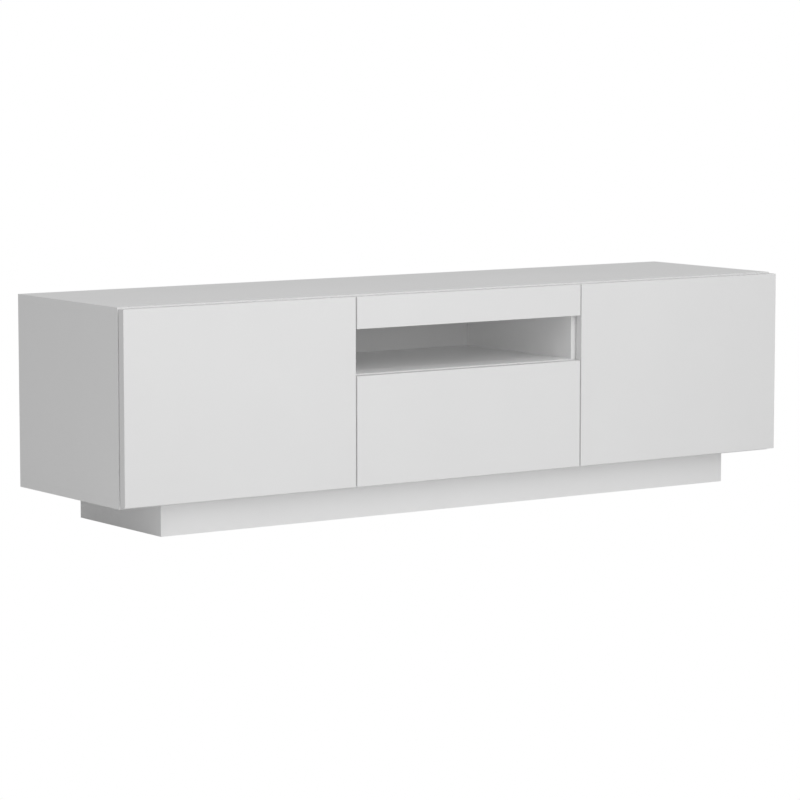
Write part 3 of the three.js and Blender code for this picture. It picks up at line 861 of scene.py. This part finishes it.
def add_strike_plate(name, centre, body, materials):
    """A thin steel disc on the back of a front, with a dimple where the plunger pushes."""
    placement = Matrix.Translation(centre) @ facing((0, 1, 0))
    radius = STRIKE_RADIUS_MM * MM
    thick = STRIKE_THICKNESS_MM * MM
    sink = STRIKE_SINK_MM * MM
    floor = DIMPLE_FLOOR_RISE_MM * MM
    disc = [(0, -sink), (radius, -sink), (radius, 0.5 * thick), (radius - STRIKE_CHAMFER_MM * MM, thick)]
    dimple = [(DIMPLE_RADIUS_MM * MM, thick), (DIMPLE_FLOOR_RADIUS_MM * MM, floor), (0, floor)]
    bm = bmesh.new()
    add_lathe(bm, disc + dimple, placement)
    add_piece(name, bm, materials["zinc"], body)


def add_door_latches(materials):
    """The plunger and screws of each door's latch, and the strike plate on the door."""
    for side, sign in SIDES.items():
        add_plunger(f"{side}_door_latch_plunger", f"{side}_door_plunger", materials)
        low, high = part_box(f"{side}_door_latch_housing")
        middle = (low + high) / 2
        door_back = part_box(f"{side}_door")[1].y
        centre = (middle.x, door_back, middle.z)
        add_strike_plate(f"{side}_door_strike_plate", centre, f"{side}_door", materials)
        x = face_x(low, high, sign)
        seats = [(x, low.y + inset * MM, middle.z) for inset in LATCH_SCREW_INSETS_MM]
        add_screws(f"{side}_door_latch_screws", seats, (sign, 0, 0), LATCH_SCREW_HEAD_MM,
                   materials["zinc"], "cabinet")


def add_drawer_latch(materials):
    """The plunger and screws of the drawer's latch, and the strike plate on the drawer front."""
    add_plunger("drawer_latch_plunger", "drawer_plunger", materials)
    low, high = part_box("drawer_latch_housing")
    middle = (low + high) / 2
    front_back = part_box("drawer_front")[1].y
    add_strike_plate("drawer_strike_plate", (middle.x, front_back, middle.z), "drawer", materials)
    seats = [(middle.x, low.y + inset * MM, low.z) for inset in LATCH_SCREW_INSETS_MM]
    add_screws("drawer_latch_screws", seats, (0, 0, -1), LATCH_SCREW_HEAD_MM,
               materials["zinc"], "cabinet")


# ---------- Cabinet fittings ----------

CAM_CAP_RADIUS_MM = 9.0
CAM_CAP_LIP_MM = 0.3
CAM_CAP_RISE_MM = 1.1
CAM_CAP_SINK_MM = 0.2
CAM_INSET_MM = 34.0
CAM_ROWS_MM = (60.0, 300.0)


def cam_cap_profile():
    """A cap's outline: a flat disc with a rounded edge, sunk a little into its board."""
    radius = CAM_CAP_RADIUS_MM * MM
    lip = CAM_CAP_LIP_MM * MM
    rise = CAM_CAP_RISE_MM * MM
    sink = CAM_CAP_SINK_MM * MM
    return [(0, rise), (radius - 3 * lip, rise), (radius - lip, rise - lip), (radius, 0.3 * rise),
            (radius, -sink), (0, -sink)]


def cam_spots(side, sign):
    """The x and z of each row of caps on one side, by the row's name."""
    panel_low, panel_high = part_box(f"{side}_side_panel")
    divider_low, divider_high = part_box(f"{side}_divider")
    side_inner = face_x(panel_low, panel_high, -sign)
    divider_outer = face_x(divider_low, divider_high, sign)
    divider_inner = face_x(divider_low, divider_high, -sign)
    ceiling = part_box("left_side_panel")[1].z
    inset = sign * CAM_INSET_MM * MM
    return {
        "outer": (side_inner - inset, ceiling),
        "inner": (divider_outer + inset, ceiling),
        "niche": (divider_inner - inset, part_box("niche_shelf")[0].z),
    }


def add_cam_caps(materials):
    """White caps over the cam fittings under the top panel and the niche shelf."""
    profile = cam_cap_profile()
    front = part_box("top_panel")[0].y
    for side, sign in SIDES.items():
        for spot, (x, z) in cam_spots(side, sign).items():
            bm = bmesh.new()
            for row in CAM_ROWS_MM:
                placement = Matrix.Translation((x, front + row * MM, z)) @ facing((0, 0, -1))
                add_lathe(bm, profile, placement)
            add_piece(f"{side}_{spot}_cam_caps", bm, materials["white_plastic"], "cabinet")


# ---------- Assembly ----------

scene = bpy.context.scene
scene.view_settings.view_transform = "Standard"
scene.view_settings.look = "None"
scene.view_settings.exposure = 0.0
scene.view_settings.gamma = 1.0
scene.cycles.diffuse_bounces = DIFFUSE_BOUNCES

make_camera()
make_world()
make_lamps()
make_floor()
materials = make_materials()
finish_nodes(materials)
for side in SIDES:
    for place in HINGE_PLACES:
        add_hinge_cup(side, place, materials)
        add_hinge_screws(side, place, materials)
    add_ball_tracks(side, materials)
    add_runner_screws(side, materials)
    add_runner_stop(side, materials)
add_drawer_fixings(materials)
add_door_latches(materials)
add_drawer_latch(materials)
add_cam_caps(materials)
